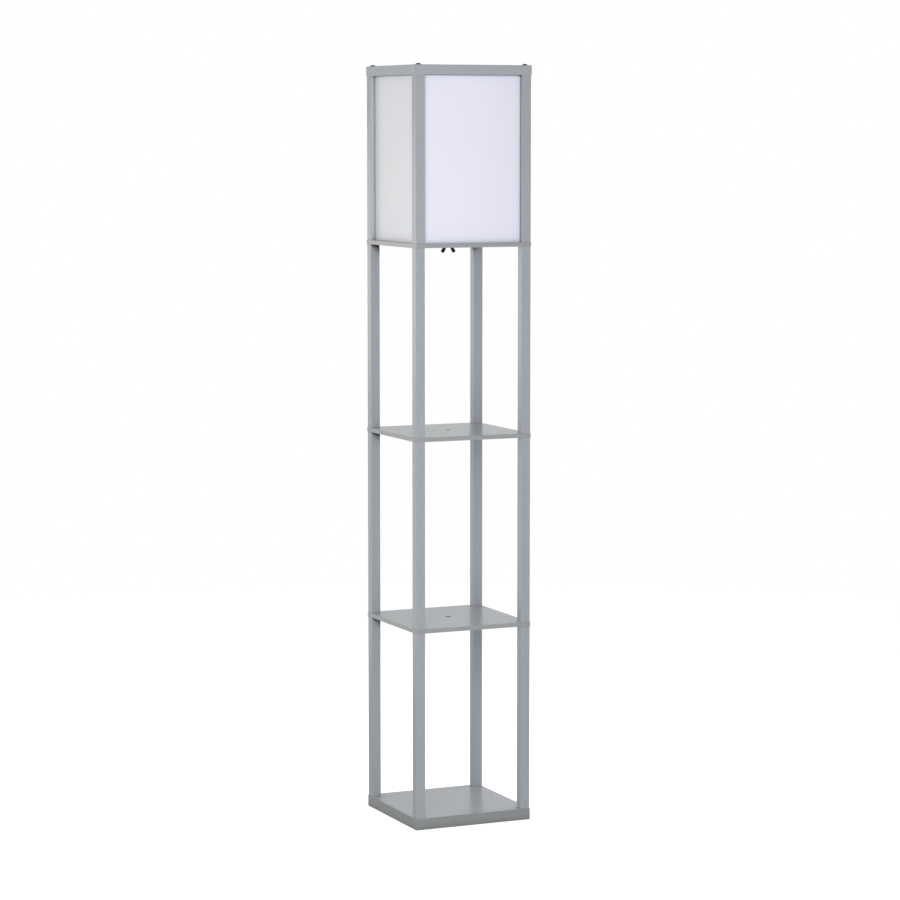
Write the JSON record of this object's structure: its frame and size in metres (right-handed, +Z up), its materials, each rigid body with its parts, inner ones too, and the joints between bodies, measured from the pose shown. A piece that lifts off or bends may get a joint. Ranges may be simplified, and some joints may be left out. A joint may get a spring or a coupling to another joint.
{
  "type": "shelf floor lamp",
  "caption": "Tall square floor lamp: a slim post-and-board column with open display bays under a lit box of pale panels in a mitred top frame.",
  "frame": {"origin": "on the floor, under the middle of the base", "axes": "+Z up, +X to the right along the front face, +Y to the back"},
  "size_m": [0.26, 0.26, 1.5728],
  "materials": {
    "grey_board": "satin grey foil on fibreboard",
    "shade_sheet": "translucent white sheet, matt",
    "black_steel": "black zinc plating",
    "zinc_steel": "bright zinc plating",
    "brass": "plain",
    "nickel": "nickel plate",
    "black_thermoplastic": "moulded, matt",
    "white_plastic": "moulded, satin",
    "white_ceramic": "glazed",
    "aluminium_board": "white solder mask on aluminium",
    "opal_plastic": "opal, satin"
  },
  "bodies": {
    "lamp": {"lower_post_front_left": "grey_board", "lower_post_front_right": "grey_board", "lower_post_back_left": "grey_board", "lower_post_back_right": "grey_board", "middle_post_front_left": "grey_board", "middle_post_front_right": "grey_board", "middle_post_back_left": "grey_board", "middle_post_back_right": "grey_board", "upper_post_front_left": "grey_board", "upper_post_front_right": "grey_board", "upper_post_back_left": "grey_board", "upper_post_back_right": "grey_board", "shade_post_front_left": "grey_board", "shade_post_front_right": "grey_board", "shade_post_back_left": "grey_board", "shade_post_back_right": "grey_board", "base_panel": "grey_board", "lower_shelf": "grey_board", "upper_shelf": "grey_board", "shade_floor": "grey_board", "top_rail_front": "grey_board", "top_rail_back": "grey_board", "top_rail_left": "grey_board", "top_rail_right": "grey_board", "shade_panel_front": "shade_sheet", "shade_panel_back": "shade_sheet", "shade_panel_left": "shade_sheet", "shade_panel_right": "shade_sheet", "studs_lower_shelf": "zinc_steel", "studs_upper_shelf": "zinc_steel", "studs_shade_floor": "zinc_steel", "base_bolts": "zinc_steel", "base_washers": "zinc_steel", "top_screws": "black_steel", "inserts_lower_posts": "zinc_steel", "inserts_middle_posts": "zinc_steel", "inserts_upper_posts": "zinc_steel", "inserts_shade_posts": "zinc_steel", "lampholder_nipple": "zinc_steel", "lampholder_cap": "black_thermoplastic", "lampholder_skirt": "black_thermoplastic", "contact_block": "white_ceramic", "terminal_screws": "brass", "screw_shell": "brass", "centre_contact": "brass", "bulb_screw_cap": "nickel", "bulb_contact": "black_thermoplastic", "bulb_housing": "white_plastic", "led_board": "aluminium_board", "bulb_diffuser": "opal_plastic"},
    "clamp_washer": {"clamp_washer": "black_steel"},
    "wing_nut": {"wing_nut": "black_steel"}
  },
  "joints": [
    {"name": "clamp_washer_slide", "type": "slide", "parent": "lamp", "child": "clamp_washer", "axis": [0, 0, -1], "range_m": [0, 0.003]},
    {"name": "wing_nut_turn", "type": "hinge", "parent": "clamp_washer", "child": "wing_nut", "pos_m": [0, 0, 1.195], "axis": [0, 0, -1], "range_deg": [0, 1080.5]}
  ],
  "couplings": [
    {"joint": "wing_nut_turn", "follows": "clamp_washer_slide", "rad_per_m": 6283.2}
  ]
}
